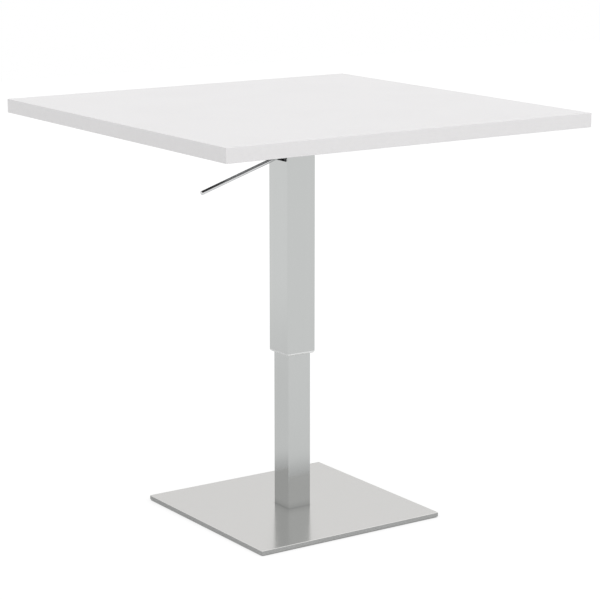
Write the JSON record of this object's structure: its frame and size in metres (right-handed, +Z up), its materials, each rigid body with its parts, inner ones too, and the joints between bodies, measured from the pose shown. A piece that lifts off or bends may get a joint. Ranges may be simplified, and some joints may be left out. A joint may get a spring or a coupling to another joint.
{
  "type": "telescoping pedestal table",
  "caption": "Square white pedestal table on a brushed steel column and flat base, height adjusted by a gas spring and release lever.",
  "frame": {"origin": "on the floor, at the column's axis, under the middle of the top", "axes": "+Z up; the release lever leaves the column towards -X; the sides of the top and base run along X and Y"},
  "size_m": [0.8, 0.8, 0.802],
  "materials": {
    "board": "particle board, hidden inside the laminate and bands",
    "white_laminate": "smooth satin white laminate",
    "grey_backer": "near black backing laminate, matt",
    "white_edge": "satin white edge band with softened edges",
    "brushed_steel": "stainless steel brushed along the tube",
    "brushed_plate": "stainless steel with a fine satin finish, soft reflections",
    "coated_steel": "grey powder coat",
    "bare_steel": "machined steel",
    "zinc_steel": "zinc plated steel",
    "cast_alloy": "die cast, slightly rough",
    "rod_chrome": "ground and hard chromed",
    "lever_chrome": "polished chrome",
    "black_enamel": "black enamel",
    "guide_plastic": "black moulded plastic",
    "pad_plastic": "dark grey moulded plastic",
    "seal_rubber": "nitrile rubber"
  },
  "bodies": {
    "pedestal": {"base_plate": "brushed_plate", "base_screws": "zinc_steel", "foot_block": "bare_steel", "foot_pad_1": "pad_plastic", "foot_pad_2": "pad_plastic", "foot_pad_3": "pad_plastic", "foot_pad_4": "pad_plastic", "lower_tube": "brushed_steel", "rod_washer": "zinc_steel", "rod_nut": "zinc_steel", "upper_guide": "guide_plastic", "piston_rod": "rod_chrome", "piston": "bare_steel", "piston_ring": "seal_rubber"},
    "table_head": {"bridge_plate": "bare_steel", "edge_band_back": "white_edge", "edge_band_front": "white_edge", "edge_band_left": "white_edge", "edge_band_right": "white_edge", "gas_cylinder": "black_enamel", "lower_guide": "guide_plastic", "outer_tube": "brushed_steel", "pivot_clip": "zinc_steel", "pivot_pin": "zinc_steel", "release_head": "cast_alloy", "rod_guide": "bare_steel", "rod_seal": "seal_rubber", "spring_neck": "bare_steel", "tabletop_core": "board", "top_laminate": "white_laminate", "top_plate": "coated_steel", "top_screws": "zinc_steel", "under_laminate": "grey_backer"},
    "lever": {"lever_block": "zinc_steel", "lever_rod": "lever_chrome", "lever_grub_screw": "zinc_steel"},
    "valve": {"valve_pin": "bare_steel"}
  },
  "joints": [
    {"name": "height_lift", "type": "slide", "parent": "pedestal", "child": "table_head", "axis": [0, 0, 1], "range_m": [-0.06, 0.18]},
    {"name": "lever_lift", "type": "hinge", "parent": "table_head", "child": "lever", "pos_m": [-0.014, 0, 0.7119], "axis": [0, 1, 0], "range_deg": [0, 8], "stiffness_Nm_per_rad": 0.6},
    {"name": "valve_press", "type": "slide", "parent": "table_head", "child": "valve", "axis": [0, 0, -1], "range_m": [0, 0.0021]}
  ],
  "couplings": [
    {"joint": "valve_press", "follows": "lever_lift", "m_per_rad": 0.014}
  ]
}
